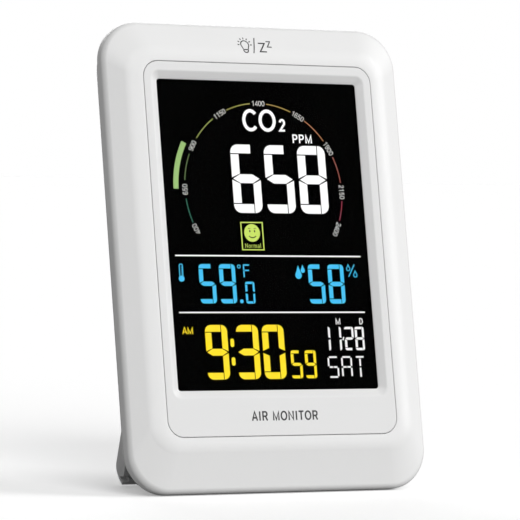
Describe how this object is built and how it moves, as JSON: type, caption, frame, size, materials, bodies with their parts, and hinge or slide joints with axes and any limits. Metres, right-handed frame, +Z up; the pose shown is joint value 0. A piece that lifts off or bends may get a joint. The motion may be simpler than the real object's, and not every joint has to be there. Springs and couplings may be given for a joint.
{
  "type": "carbon dioxide monitor",
  "caption": "Desktop carbon dioxide monitor with a colour segment display in a white case, rear keys and vents, and a fold-out stand.",
  "frame": {"origin": "middle of the footprint of the standing monitor, on the surface it stands on", "axes": "+Z up, +X to the right of the display, +Y towards the back, with the case leaning back 12 degrees from +Z"},
  "size_m": [0.1064, 0.0474, 0.1476],
  "materials": {
    "case_white": "fine satin moulding",
    "bezel_white": "fine satin moulding",
    "key_white": "satin",
    "lens_black": "polished smoked acrylic",
    "lcd_glass": "polished",
    "guide_clear": "diffusing acrylic",
    "holder_ivory": "moulded",
    "board_green": "solder mask",
    "chip_black": "moulded epoxy",
    "sensor_gold": "gold plated",
    "membrane_white": "porous membrane",
    "cell_foil": "laminated foil pouch",
    "rubber_dark": "matt",
    "steel": "nickel plated"
  },
  "bodies": {
    "case": {"front_shell": "case_white", "rear_shell": "case_white", "display_bezel": "bezel_white", "display_lens": "lens_black", "lcd_panel": "lcd_glass", "light_guide": "guide_clear", "backlight_led_strip": "board_green", "lcd_contact_strip": "rubber_dark", "lcd_holder": "holder_ivory", "main_board": "board_green", "gas_sensor": "sensor_gold", "gas_sensor_filter": "membrane_white", "humidity_sensor": "chip_black", "buzzer": "chip_black", "controller_chip": "chip_black", "battery_cell": "cell_foil", "battery_connector": "holder_ivory", "battery_lead": "rubber_dark", "usb_socket": "steel", "touch_electrode": "sensor_gold", "power_switch": "chip_black", "set_switch": "chip_black", "up_switch": "chip_black", "down_switch": "chip_black", "case_screw_1": "steel", "board_screw_1": "steel", "case_screw_2": "steel", "board_screw_2": "steel", "case_screw_3": "steel", "board_screw_3": "steel", "case_screw_4": "steel", "board_screw_4": "steel"},
    "stand": {"flip_stand": "case_white", "stand_pad_left": "rubber_dark", "stand_pad_right": "rubber_dark", "hinge_pin_left": "steel", "hinge_pin_right": "steel"},
    "power_button": {"power_key": "key_white"},
    "set_button": {"set_key": "key_white"},
    "up_button": {"up_key": "key_white"},
    "down_button": {"down_key": "key_white"}
  },
  "joints": [
    {"name": "stand_hinge", "type": "hinge", "parent": "case", "child": "stand", "pos_m": [0, 0.00315, 0.04885], "axis": [-1, 0, 0], "range_deg": [0, 28.5]},
    {"name": "power_press", "type": "slide", "parent": "case", "child": "power_button", "axis": [0, -0.9781, 0.2079], "range_m": [0, 0.0005], "stiffness_N_per_m": 600, "springref_m": -0.0005},
    {"name": "set_press", "type": "slide", "parent": "case", "child": "set_button", "axis": [0, -0.9781, 0.2079], "range_m": [0, 0.0005], "stiffness_N_per_m": 600, "springref_m": -0.0005},
    {"name": "up_press", "type": "slide", "parent": "case", "child": "up_button", "axis": [0, -0.9781, 0.2079], "range_m": [0, 0.0005], "stiffness_N_per_m": 600, "springref_m": -0.0005},
    {"name": "down_press", "type": "slide", "parent": "case", "child": "down_button", "axis": [0, -0.9781, 0.2079], "range_m": [0, 0.0005], "stiffness_N_per_m": 600, "springref_m": -0.0005}
  ]
}
